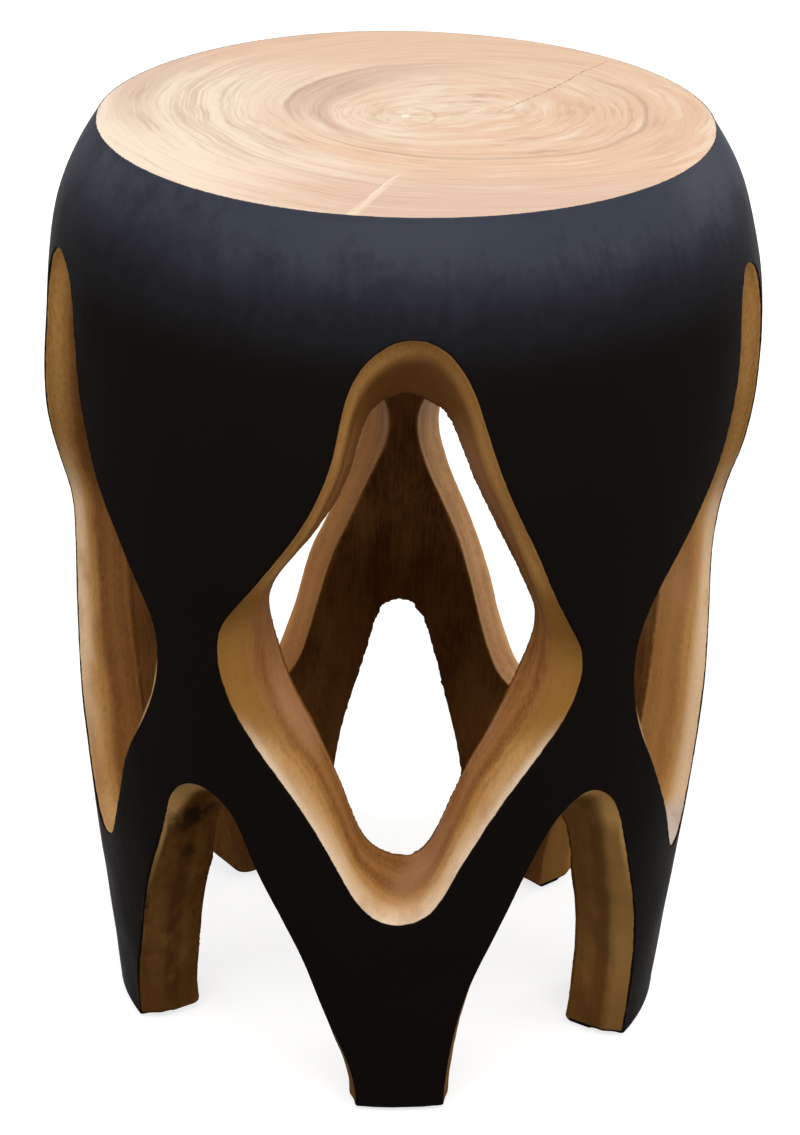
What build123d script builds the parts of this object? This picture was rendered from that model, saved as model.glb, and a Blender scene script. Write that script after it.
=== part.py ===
from build123d import *

import os
from dataclasses import dataclass
from math import cos, radians, sin

os.makedirs("parts", exist_ok=True)

# A drum table carved from one hollowed log. Millimetres, +Z up. The origin is on the floor,
# under the middle of the table, and -Y is its front. Angles round the table are in degrees
# from the front, positive towards +X. Heights are above the ends of the legs.

# ---- the log, from its legs' ends to its top ----
log_height = 500.0
foot_radius = 152.5
calf_height = 100.0
calf_radius = 163.5
belly_height = 260.0
belly_radius = 180.0
shoulder_height = 395.0
shoulder_radius = 188.0
neck_height = 460.0
neck_inset = 10.0
neck_radius = shoulder_radius - neck_inset
top_radius = 158.0

# ---- the hollow ----
wall = 34.0
top_thickness = 55.0
hollow_corner_radius = 30.0

# ---- the black coat ----
coat_thickness = 0.8

# ---- the windows ----
# Each opening has a bevel at the skin, this deep, and a steeper cut from there to the hollow.
bevel_depth = 11.0
window_tip = 446.0
window_corner = 266.0
window_foot = 112.0
window_half_angle = 30.0
window_bevel_angle = 3.2
window_bevel_drop = 12.0
window_bevel_shift = 5.0
window_bevel_rise = 10.5
window_cut_angle = 0.9
window_cut_drop = 23.0
window_cut_shift = 11.0
window_cut_rise = 17.0

# ---- the arches between the legs ----
arch_crown = 188.0
arch_bevel_angle = 2.2
arch_bevel_drop = 9.0
arch_cut_drop = 19.0

# ---- drying checks in the top, filled with resin ----
check_width = 1.2
check_depth = 8.0

# ---- a glide under each leg, and the nail that holds it ----
glide_thickness = 3.0
glide_diameter = 20.0
glide_chamfer = 0.8
nail_recess = 0.8
nail_head_diameter = 6.0
nail_head_thickness = 1.0
nail_shank_diameter = 2.0
nail_length = 16.0

# ---- room that the cutting shapes have past what they cut ----
cutter_room = 5.0

# Half of a window's outline: how far up towards the tip, or down towards the foot where it is
# negative, and how wide, as shares of the whole.
WINDOW_SIDE = (
    (0.94, 0.22),
    (0.70, 0.39),
    (0.42, 0.60),
    (0.16, 0.89),
    (0.00, 1.00),
    (-0.12, 0.94),
    (-0.50, 0.57),
    (-0.88, 0.27),
    (-0.97, 0.14),
)
FRONT_LEFT_SIDE = (
    (0.94, 0.215),
    (0.65, 0.37),
    (0.41, 0.555),
    (0.215, 0.80),
    (0.13, 0.92),
    (0.00, 1.00),
    (-0.10, 0.95),
    (-0.37, 0.65),
    (-0.66, 0.405),
    (-0.89, 0.24),
    (-0.97, 0.13),
)
FRONT_RIGHT_SIDE = (
    (0.985, 0.13),
    (0.94, 0.225),
    (0.68, 0.42),
    (0.43, 0.63),
    (0.17, 0.88),
    (0.00, 1.00),
    (-0.11, 0.93),
    (-0.40, 0.63),
    (-0.71, 0.375),
    (-0.88, 0.26),
    (-0.97, 0.16),
)
SLENDER_SIDE = (
    (0.95, 0.15),
    (0.80, 0.235),
    (0.58, 0.35),
    (0.36, 0.61),
    (0.17, 0.905),
    (0.00, 1.00),
    (-0.12, 0.974),
    (-0.35, 0.775),
    (-0.61, 0.52),
    (-0.88, 0.225),
)

# Half of an arch's outline from under its crown to the floor, in the same way.
SLIM_SIDE = ((0.95, 0.25), (0.86, 0.39), (0.69, 0.57), (0.51, 0.77), (0.35, 0.90), (0.20, 0.97), (0, 1))
FLARED_SIDE = ((0.95, 0.22), (0.83, 0.33), (0.66, 0.50), (0.48, 0.67), (0.30, 0.81), (0.16, 0.94), (0, 1))


@dataclass
class Window:
    """What is a window's own, as the carver left no two alike. Angles in degrees."""

    angle: float  # round the table, of the line from its tip to its foot
    higher: float = 0  # how far its tip reaches above window_tip
    lower: float = 0  # how far its foot reaches below window_foot
    tilt: float = 0  # how much higher its left corner is than its right
    wider_left: float = 0  # at its left corner, on the skin
    wider_right: float = 0
    left_side: tuple = WINDOW_SIDE
    right_side: tuple = WINDOW_SIDE
    open_left: float = 0  # at its left corner, more on the inner side only
    open_right: float = 0
    level_cut: float = 0  # 1 if its inner outline is as high as its outer one, 0 if it tapers
    thick_crown: float = 0  # how much lower its inner outline's tip is
    roundness: float = 1  # below 1, its inner outline is fuller between its corners and its foot
    leanness: float = 1  # above 1, its outer outline is slimmer between its corners and its tip


@dataclass
class Arch:
    """What is an arch's own: its angle round the table, its two halves at the floor, its sides."""

    angle: float
    left: float
    right: float
    side: tuple


FRONT_WINDOW = Window(
    angle=2,
    higher=3,
    lower=-7,
    tilt=9,
    wider_left=1.9,
    wider_right=0.2,
    left_side=FRONT_LEFT_SIDE,
    right_side=FRONT_RIGHT_SIDE,
    open_right=0.8,
    thick_crown=6,
    roundness=0.86,
)
WINDOWS = [
    FRONT_WINDOW,
    Window(angle=72.3, lower=6, left_side=SLENDER_SIDE),
    Window(angle=147.3, lower=8, wider_right=-1.8, open_right=5.1, level_cut=1, leanness=1.25),
    Window(angle=-147.5, lower=12, wider_left=-1.2, open_left=6.5, level_cut=1, leanness=1.4),
    Window(angle=-70.5, lower=3),
]
ARCHES = [
    Arch(36.3, 24.2, 23.8, SLIM_SIDE),
    Arch(108.5, 24.5, 24.5, SLIM_SIDE),
    Arch(179.0, 23.0, 21.0, SLIM_SIDE),
    Arch(253.0, 25.0, 25.0, SLIM_SIDE),
    Arch(325.3, 28.5, 29.4, FLARED_SIDE),
]

# The checks run outwards from near the middle of the top.
LONG_CHECK = [(47, 10), (59, 28), (72, 47), (84, 66), (92, 83), (108, 107)]
SHORT_CHECK = [(-1, -92), (-7, -104), (-15, -126), (-19, -141)]


# ---- the log's surfaces ----
side_plane = Plane(origin=(0, 0, glide_thickness), x_dir=(1, 0, 0), z_dir=(0, -1, 0))
top_plane = Plane.XY.offset(glide_thickness + log_height)

with BuildLine(Plane.XY) as skin:
    Spline(
        (foot_radius, 0),
        (calf_radius, calf_height),
        (belly_radius, belly_height),
        (shoulder_radius, shoulder_height),
        (neck_radius, neck_height),
        (top_radius, log_height),
    )


def skin_radius(height, halvings=30):
    """The log's radius at a height, found by halving along its outline."""
    outline = skin.edges()[0]
    low, high = 0.0, 1.0
    for _ in range(halvings):
        middle = (low + high) / 2
        if (outline @ middle).Y < height:
            low = middle
        else:
            high = middle
    return (outline @ low).X


def heights_up_to(height, steps=10):
    """Evenly spaced heights from the legs' ends."""
    return [height * step / steps for step in range(steps + 1)]


def turned_log(depth):
    """The log as it was turned, before it was hollowed, with its skin this much deeper."""
    with BuildPart() as turned:
        with BuildSketch(side_plane):
            with BuildLine():
                edge = Spline(*[(skin_radius(h) - depth, h) for h in heights_up_to(log_height)])
                Polyline(edge @ 1, (0, log_height), (0, 0), edge @ 0)
            make_face()
        revolve(axis=Axis.Z)
    return turned.part


def turned_hollow():
    """The room inside, open at the floor, with a rounded corner under the top."""
    ceiling = log_height - top_thickness
    spring = ceiling - hollow_corner_radius
    with BuildPart() as hollow:
        with BuildSketch(side_plane):
            with BuildLine():
                edge = Spline(*[(skin_radius(h) - wall, h) for h in heights_up_to(spring)])
                corner = (skin_radius(spring) - wall - hollow_corner_radius, ceiling)
                TangentArc(edge @ 1, corner, tangent=edge % 1)
                Polyline(corner, (0, ceiling), (0, -cutter_room))
                Polyline((0, -cutter_room), ((edge @ 0).X, -cutter_room), edge @ 0)
            make_face()
        revolve(axis=Axis.Z)
    return hollow.part


# ---- the openings ----
def in_wall(outline, depth):
    """Points of an outline in the wall, as seen from outside: across, up, and out from the axis."""
    points = []
    for angle, height in outline:
        radius = skin_radius(height) - depth
        points.append(Vector(radius * sin(radians(angle)), height, radius * cos(radians(angle))))
    return points


def at_distance(outer, inner, distance):
    """The points this far out from the axis on the lines through two outlines in the wall."""
    points = []
    for outside, inside in zip(outer, inner):
        share = (distance - inside.Z) / (outside.Z - inside.Z)
        point = inside + (outside - inside) * share
        points.append((point.X, point.Y))
    return points


def taper(angle, outer, inner, ends_on_floor):
    """A cutter that passes through two outlines in the wall, and on past both sides of it."""
    out = (sin(radians(angle)), -cos(radians(angle)), 0)
    across = (cos(radians(angle)), sin(radians(angle)), 0)
    facing = Plane(origin=(0, 0, glide_thickness), x_dir=across, z_dir=out)
    near = min(point.Z for point in inner) - cutter_room
    far = max(shoulder_radius, neck_radius, belly_radius) + cutter_room
    with BuildPart() as cutter:
        for distance in (near, far):
            with BuildSketch(facing.offset(distance)):
                with BuildLine():
                    points = at_distance(outer, inner, distance)
                    if ends_on_floor:
                        edge = Spline(*points)
                        start, end = edge @ 0, edge @ 1
                        Polyline(end, (end.X, -cutter_room), (start.X, -cutter_room), start)
                    else:
                        Spline(*points, periodic=True)
                make_face()
        loft(ruled=True)
    return cutter.part


@dataclass
class Diamond:
    """A window's outline at one depth in the wall."""

    tip: float
    corner: float
    foot: float
    left: float
    right: float
    roundness: float = 1
    leanness: float = 1

    def points(self, window):
        """From the tip, down the right side and up the left."""
        right = self.half(window.right_side, self.right, -window.tilt)
        left = self.half(window.left_side, -self.left, window.tilt)
        return [(0, self.tip)] + right + [(0, self.foot)] + left[::-1]

    def half(self, side, angle, tilt):
        """One side from the tip down, where the corner is off the middle by half the tilt."""
        corner = self.corner + tilt / 2
        points = []
        for share, width in side:
            if share > 0:
                points.append((angle * width**self.leanness, corner + share * (self.tip - corner)))
            else:
                points.append((angle * width**self.roundness, corner + share * (corner - self.foot)))
        return points


def window_cutters(window):
    """The bevel and the cut of one window."""
    at_skin = Diamond(
        tip=window_tip + window.higher,
        corner=window_corner,
        foot=window_foot - window.lower,
        left=window_half_angle + window.wider_left,
        right=window_half_angle + window.wider_right,
        leanness=window.leanness,
    )
    at_bevel = Diamond(
        tip=at_skin.tip - window_bevel_drop,
        corner=at_skin.corner + window_bevel_shift,
        foot=at_skin.foot + window_bevel_rise,
        left=at_skin.left - window_bevel_angle,
        right=at_skin.right - window_bevel_angle,
        leanness=window.leanness,
    )
    tapering = 1 - window.level_cut
    at_hollow = Diamond(
        tip=at_bevel.tip - window_cut_drop - window.thick_crown,
        corner=at_bevel.corner + window_cut_shift * tapering,
        foot=at_bevel.foot + window_cut_rise * tapering,
        left=at_bevel.left - window_cut_angle + window.open_left,
        right=at_bevel.right - window_cut_angle + window.open_right,
        roundness=window.roundness,
    )
    skin_points = in_wall(at_skin.points(window), 0)
    bevel_points = in_wall(at_bevel.points(window), bevel_depth)
    hollow_points = in_wall(at_hollow.points(window), wall)
    return [
        taper(window.angle, skin_points, bevel_points, False),
        taper(window.angle, bevel_points, hollow_points, False),
    ]


def arch_outline(crown, left, right, side):
    """An arch's outline from the floor on its left, over its crown, to the floor on its right."""
    rising = [(-left * width, crown * share) for share, width in reversed(side)]
    falling = [(right * width, crown * share) for share, width in side]
    return rising + [(0, crown)] + falling


def arch_cutters(arch):
    """The bevel and the cut of one arch."""
    left, right = arch.left, arch.right
    skin_points = in_wall(arch_outline(arch_crown, left, right, arch.side), 0)
    crown = arch_crown - arch_bevel_drop
    left, right = left - arch_bevel_angle, right - arch_bevel_angle
    bevel_points = in_wall(arch_outline(crown, left, right, arch.side), bevel_depth)
    crown -= arch_cut_drop
    hollow_points = in_wall(arch_outline(crown, left, right, arch.side), wall)
    return [
        taper(arch.angle, skin_points, bevel_points, True),
        taper(arch.angle, bevel_points, hollow_points, True),
    ]


cutters = []
for window in WINDOWS:
    cutters += window_cutters(window)
for arch in ARCHES:
    cutters += arch_cutters(arch)


# ---- where the legs stand ----
def leg_angles():
    """The middle of each leg at the floor, between the arches on its two sides."""
    angles = []
    for index, arch in enumerate(ARCHES):
        before = ARCHES[index - 1]
        turn = 360 if before.angle > arch.angle else 0
        angles.append((arch.angle - arch.left + before.angle - turn + before.right) / 2)
    return angles


leg_middle_radius = foot_radius - (wall + coat_thickness) / 2
leg_points = [
    (leg_middle_radius * sin(radians(angle)), -leg_middle_radius * cos(radians(angle)))
    for angle in leg_angles()
]


def check_fill(points):
    """The resin in one drying check, flush with the top."""
    with BuildPart() as fill:
        with BuildSketch(top_plane):
            with BuildLine():
                Polyline(*points)
            trace(line_width=check_width)
        extrude(amount=-check_depth)
    return fill


long_fill = check_fill(LONG_CHECK)
short_fill = check_fill(SHORT_CHECK)

# ---- the whole table, parted into wood and coat where the coat meets the wood ----
with BuildPart() as whole:
    add(turned_log(0))
    add(turned_hollow(), mode=Mode.SUBTRACT)
    add(cutters, mode=Mode.SUBTRACT)

under_coat = turned_log(coat_thickness)

# ---- the carved log: top, wall and legs in one piece of wood ----
with BuildPart() as carved_log:
    add(whole.part)
    add(under_coat, mode=Mode.INTERSECT)
    add(long_fill.part, mode=Mode.SUBTRACT)
    add(short_fill.part, mode=Mode.SUBTRACT)
    for x, y in leg_points:
        with BuildSketch(Plane(origin=(x, y, glide_thickness))):
            Circle(nail_shank_diameter / 2)
    extrude(amount=nail_recess + nail_length - glide_thickness, mode=Mode.SUBTRACT)

# ---- the black coat: the outside of the wall and the legs, up to the edge of the top ----
with BuildPart() as black_coat:
    add(whole.part)
    add(under_coat, mode=Mode.SUBTRACT)

carved_log.part.label = "carved_log"
export_step(carved_log.part, "parts/carved_log.step")
black_coat.part.label = "black_coat"
export_step(black_coat.part, "parts/black_coat.step")
long_fill.part.label = "top_check_fill_long"
export_step(long_fill.part, "parts/top_check_fill_long.step")
short_fill.part.label = "top_check_fill_short"
export_step(short_fill.part, "parts/top_check_fill_short.step")

# ---- the glides and their nails ----
for number, (x, y) in enumerate(leg_points, start=1):
    with BuildPart() as glide:
        with BuildSketch(Plane(origin=(x, y, 0))):
            Circle(glide_diameter / 2)
        extrude(amount=glide_thickness)
        chamfer(glide.edges().group_by(Axis.Z)[0], length=glide_chamfer)
        with BuildSketch(Plane(origin=(x, y, 0))):
            Circle(nail_head_diameter / 2)
        extrude(amount=nail_recess + nail_head_thickness, mode=Mode.SUBTRACT)
        with BuildSketch(Plane(origin=(x, y, 0))):
            Circle(nail_shank_diameter / 2)
        extrude(amount=glide_thickness, mode=Mode.SUBTRACT)

    with BuildPart() as nail:
        with BuildSketch(Plane(origin=(x, y, nail_recess))):
            Circle(nail_head_diameter / 2)
        extrude(amount=nail_head_thickness)
        with BuildSketch(Plane(origin=(x, y, nail_recess))):
            Circle(nail_shank_diameter / 2)
        extrude(amount=nail_length)

    glide.part.label = f"foot_glide_{number}"
    export_step(glide.part, f"parts/foot_glide_{number}.step")
    nail.part.label = f"glide_nail_{number}"
    export_step(nail.part, f"parts/glide_nail_{number}.step")
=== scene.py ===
"""The looks of a drum table that is carved from one hollowed log.

The log and its black coat are one dressed mesh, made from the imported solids: its edges are softened
as sanding softens them, and it is a little out of round. Sizes are in metres, except where a name
ends in _mm.
"""

import math
import random

import bmesh
import bpy
import numpy as np
from mathutils import Euler, Matrix, Vector
from mathutils.bvhtree import BVHTree
from mathutils.kdtree import KDTree

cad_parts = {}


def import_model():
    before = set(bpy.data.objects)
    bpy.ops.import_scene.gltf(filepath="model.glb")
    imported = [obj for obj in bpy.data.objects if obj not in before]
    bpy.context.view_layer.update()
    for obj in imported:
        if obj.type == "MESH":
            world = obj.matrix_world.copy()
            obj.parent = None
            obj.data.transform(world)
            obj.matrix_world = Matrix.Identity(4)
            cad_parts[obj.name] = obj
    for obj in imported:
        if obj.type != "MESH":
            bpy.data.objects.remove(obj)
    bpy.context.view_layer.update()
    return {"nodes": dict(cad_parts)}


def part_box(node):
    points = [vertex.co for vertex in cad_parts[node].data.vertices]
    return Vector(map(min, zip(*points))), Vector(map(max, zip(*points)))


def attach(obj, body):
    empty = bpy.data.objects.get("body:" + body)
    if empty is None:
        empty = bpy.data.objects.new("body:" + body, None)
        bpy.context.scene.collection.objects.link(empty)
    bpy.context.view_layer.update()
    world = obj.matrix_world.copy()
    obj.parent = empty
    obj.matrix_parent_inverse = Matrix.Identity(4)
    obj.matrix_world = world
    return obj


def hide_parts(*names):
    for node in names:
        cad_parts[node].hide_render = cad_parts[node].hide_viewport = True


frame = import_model()
nodes = frame["nodes"]

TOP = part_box("carved_log")[1].z
LEGS_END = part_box("carved_log")[0].z
TOP_MM = TOP * 1000
LEGS_END_MM = LEGS_END * 1000
COAT_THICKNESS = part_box("black_coat")[1].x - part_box("carved_log")[1].x
BODY = "root"

# The mesh that dresses the log: its quads' size, how often it is smoothed, and how far its top sinks
GRAIN_OF_MESH = 0.0015
SMOOTHING_ROUNDS = 28
TOP_SINK = 0.00012

# Which of the log's edges are sharp, how close their points are, and how near the mesh has to be
SHARP_ANGLE = math.radians(22)
EDGE_SPACING = 0.0004
EDGE_REACH = 0.87 * GRAIN_OF_MESH

# The rims of the checks and of the nail holes are edges too, but they are filled.
CHECKS_DEPTH, CHECKS_REACH = 0.02, 0.15
NAIL_RADIUS, NAIL_REACH = 0.0015, 0.004

# Below this height the edge of the hollow is left as the solid has it.
KEPT_EDGE_DEPTH, KEPT_EDGE_HEIGHT = 0.018, 0.12

# How far in from its turned shape the log's left side is: amount, and its middle in degrees
SHOULDER_FLAT, SHOULDER_FLAT_AT = 0.0032, -92.0
RIM_FLAT, RIM_FLAT_AT = 0.0040, -128.0
FLAT_TURN = 34.0
SHOULDER_HEIGHT, SHOULDER_SPREAD = 0.405, 0.05
RIM_FROM = 0.455

# The legs' lower corners: width and rise of what is worn away, and how far up the leg it is felt
LEG_THICKNESS = 0.036
INNER_WEAR, INNER_REACH = (0.004, 0.004), 0.012
BACK_LEFT_WEAR, BACK_LEFT_REACH = (0.019, 0.015), 0.045
LEFT_WEAR, LEFT_REACH = (LEG_THICKNESS, 0.0065), 0.03
MOST_WORN = 0.98

# The back left leg's rise inside, and how much more there is at the coat
BACK_LEFT_INSIDE, BACK_LEFT_MORE = 0.85, 0.65

# Where round the table those two legs' wear begins, and over what turn, in degrees from the front
BACK_LEFT_FROM, BACK_LEFT_TURN = -139.0, 20.0
LEFT_FROM, LEFT_TURN, LEFT_SOFT = -65.0, 40.0, 9.0

# How far the growth rings shift past the pith, and how much flatter than a circle they are
RING_SHIFT_MM = (33.0, 15.0)
RING_SQUASH = 1.12

# The drying checks, from the middle of the top outwards
LONG_CHECK = [
    (0.047, 0.010),
    (0.059, 0.028),
    (0.072, 0.047),
    (0.084, 0.066),
    (0.092, 0.083),
    (0.108, 0.107),
]
SHORT_CHECK = [(-0.001, -0.092), (-0.007, -0.104), (-0.015, -0.126), (-0.019, -0.141)]
CHECK_WIDTH, CHECK_DEPTH = 0.0012, 0.003
CHECK_SINK, CHECK_WANDER = 0.00003, 0.00035
PARTS_A_STRETCH = 7


# ---- meshes ----
def merged(name):
    """A node's mesh as a bmesh, with the points that its facets share made one."""
    shape = bmesh.new()
    shape.from_mesh(nodes[name].data)
    bmesh.ops.remove_doubles(shape, verts=shape.verts, dist=1e-6)
    return shape


def piece_from(shape, name):
    """A new object from a bmesh."""
    mesh = bpy.data.meshes.new(name)
    shape.to_mesh(mesh)
    shape.free()
    piece = bpy.data.objects.new(name, mesh)
    bpy.context.scene.collection.objects.link(piece)
    return piece


def with_modifier(piece, kind, **settings):
    """Puts a modifier on a piece and applies it."""
    modifier = piece.modifiers.new(kind.lower(), kind)
    for key, value in settings.items():
        setattr(modifier, key, value)
    bpy.context.view_layer.update()
    shaped = bpy.data.meshes.new_from_object(piece.evaluated_get(bpy.context.evaluated_depsgraph_get()))
    piece.modifiers.clear()
    old = piece.data
    piece.data = shaped
    bpy.data.meshes.remove(old)


def nail_middles():
    """Where each nail goes up into a leg, as seen from above."""
    middles = []
    for name in nodes:
        if name.startswith("glide_nail_"):
            low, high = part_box(name)
            middles.append((Vector(((low.x + high.x) / 2, (low.y + high.y) / 2)), high.z))
    return middles


def plugs():
    """Solids that close the log's checks and nail holes, which other pieces fill or cover."""
    plug = bmesh.new()
    for name in ("top_check_fill_long", "top_check_fill_short"):
        fill = merged(name)
        bmesh.ops.recalc_face_normals(fill, faces=fill.faces)
        fill.normal_update()
        for vert in fill.verts:
            vert.co += vert.normal * 0.0002
            vert.co.z = min(vert.co.z, TOP - 0.00005)
        mesh = bpy.data.meshes.new("fill")
        fill.to_mesh(mesh)
        fill.free()
        plug.from_mesh(mesh)
        bpy.data.meshes.remove(mesh)
    for middle, end in nail_middles():
        bottom = LEGS_END + 0.00005
        length = end + 0.001 - bottom
        place = Matrix.Translation((middle.x, middle.y, bottom + length / 2))
        bmesh.ops.create_cone(
            plug,
            cap_ends=True,
            segments=16,
            radius1=NAIL_RADIUS,
            radius2=NAIL_RADIUS,
            depth=length,
            matrix=place,
        )
    return piece_from(plug, "plugs")


def edge_line(spacing):
    """Points along the log's sharp edges, apart from the rims of its checks and nail holes."""
    shape = merged("carved_log")
    holes = [middle for middle, _ in nail_middles()]
    points = []
    for edge in shape.edges:
        if len(edge.link_faces) != 2 or edge.calc_face_angle() < SHARP_ANGLE:
            continue
        start, end = edge.verts[0].co, edge.verts[1].co
        if start.z > TOP - CHECKS_DEPTH and math.hypot(start.x, start.y) < CHECKS_REACH:
            continue
        if any((start.xy - hole).length < NAIL_REACH for hole in holes):
            continue
        count = max(1, math.ceil((end - start).length / spacing))
        points += [start.lerp(end, part / count) for part in range(count + 1)]
    shape.free()
    return points


def on_edge_line(points, edges):
    """Moves the points near a sharp edge onto it, and spreads them evenly along it."""
    line = edge_line(EDGE_SPACING)
    tree = KDTree(len(line))
    for index, point in enumerate(line):
        tree.insert(point, index)
    tree.balance()
    near = np.array([tree.find(point)[2] < EDGE_REACH for point in points])
    everywhere = np.ones(len(points))
    for rounds in (1, 1, 1, 0):
        for index in np.flatnonzero(near):
            points[index] = tree.find(points[index])[0]
        points = relaxed(points, edges, everywhere, rounds)
    return points, near


def waves(points, length, count, seed):
    """Soft unevenness with about this wavelength, mostly between -2 and 2."""
    chance = np.random.default_rng(seed)
    direction = chance.normal(size=(count, 3))
    direction /= np.linalg.norm(direction, axis=1, keepdims=True)
    number = 2 * math.pi / (length * chance.uniform(0.7, 1.5, size=(count, 1)))
    phase = chance.uniform(0, 2 * math.pi, size=count)
    total = np.zeros(len(points))
    for turn, start in zip(direction * number, phase):
        total += np.sin(points @ turn + start)
    return total * math.sqrt(2 / count)


def smooth_step(value, low, high):
    """0 below low, 1 above high, with a soft passage."""
    share = np.clip((value - low) / (high - low), 0, 1)
    return share * share * (3 - 2 * share)


def hump(value, middle, width):
    """1 at the middle, falling off evenly to both sides."""
    return np.exp(-(((value - middle) / width) ** 2))


def relaxed(points, edges, strength, rounds):
    """Draws each point towards the middle of its neighbours, as far as its strength says."""
    count = len(points)
    neighbours = np.bincount(edges.ravel(), minlength=count)[:, None]
    for _ in range(rounds):
        total = np.zeros_like(points)
        for axis in range(3):
            for here, there in (edges.T, edges.T[::-1]):
                total[:, axis] += np.bincount(here, weights=points[there, axis], minlength=count)
        points = points + (total / neighbours - points) * strength[:, None] * 0.5
    return points


def skin_profile():
    """The black coat's outer radius at a row of heights."""
    coat = merged("black_coat")
    tree = BVHTree.FromBMesh(coat)
    coat.free()
    heights = np.linspace(LEGS_END + 0.0003, TOP - 0.0003, 160)
    radii = []
    for height in heights:
        radius = 0.0
        for step in range(60):
            angle = 2 * math.pi * step / 60
            out = Vector((math.cos(angle), math.sin(angle), 0))
            hit = tree.ray_cast(out * 0.3 + Vector((0, 0, height)), -out, 0.3)[0]
            if hit is not None:
                radius = max(radius, math.hypot(hit.x, hit.y))
        radii.append(radius)
    return heights, np.array(radii)


def near_floor(points, reach):
    """1 at the legs' ends, 0 this far above them."""
    return np.clip(1 - (points[:, 2] - LEGS_END) / reach, 0, 1)


def angle_of(points):
    """Where round the table each point is, in degrees from the front."""
    return np.degrees(np.arctan2(points[:, 0], -points[:, 1]))


def worn_feet(points):
    """Lifts the legs' lower corners: the inner ones a little, and one each of two legs by an arch."""
    around = np.hypot(points[:, 0], points[:, 1])
    angle = angle_of(points)
    inner = around[points[:, 2] < LEGS_END + 0.002].min()

    # The left leg's end slopes up towards the hollow, beside the arch to its front.
    width, rise = LEFT_WEAR
    inwards = np.clip((inner + width - around) / width, 0, 1)
    beside_arch = smooth_step(angle, LEFT_FROM, LEFT_FROM + LEFT_SOFT) * (angle < LEFT_FROM + LEFT_TURN)
    points[:, 2] += rise * inwards * beside_arch * near_floor(points, LEFT_REACH)

    # The inner corners and the back left leg's are elliptical, and the latter rises to the coat.
    outwards = BACK_LEFT_INSIDE + BACK_LEFT_MORE * np.clip((around - inner) / LEG_THICKNESS, 0, 1)
    turn = angle - BACK_LEFT_FROM
    beside_arch = np.where((turn > 0) & (turn < BACK_LEFT_TURN), np.radians(turn) * around, 0)
    for past, (width, rise), more, reach in (
        (inner + INNER_WEAR[0] - around, INNER_WEAR, 1.0, INNER_REACH),
        (beside_arch, BACK_LEFT_WEAR, outwards, BACK_LEFT_REACH),
    ):
        past = np.clip(past / width, 0, MOST_WORN)
        points[:, 2] += rise * more * (1 - np.sqrt(1 - past**2)) * near_floor(points, reach)


def split_along(mesh, on_line):
    """Splits each quad that a sharp edge crosses from corner to corner along that edge."""
    shape = bmesh.new()
    shape.from_mesh(mesh)
    shape.verts.ensure_lookup_table()
    for face in list(shape.faces):
        corners = list(face.verts)
        if len(corners) != 4:
            continue
        sharp = [bool(on_line[corner.index]) for corner in corners]
        for first in (0, 1):
            if sharp[first] and sharp[first + 2] and not (sharp[1 - first] or sharp[3 - first]):
                bmesh.utils.face_split(face, corners[first], corners[first + 2])
                break
    shape.to_mesh(mesh)
    shape.free()


def rows_of(items, key, width, kind=float):
    """One property of all a mesh's points or edges, in rows."""
    values = np.empty(len(items) * width, dtype=kind)
    items.foreach_get(key, values)
    return values.reshape(-1, width)


def put_attribute(mesh, name, values):
    attribute = mesh.attributes.new(name, "FLOAT", "POINT")
    attribute.data.foreach_set("value", values.astype(np.float32))


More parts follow.
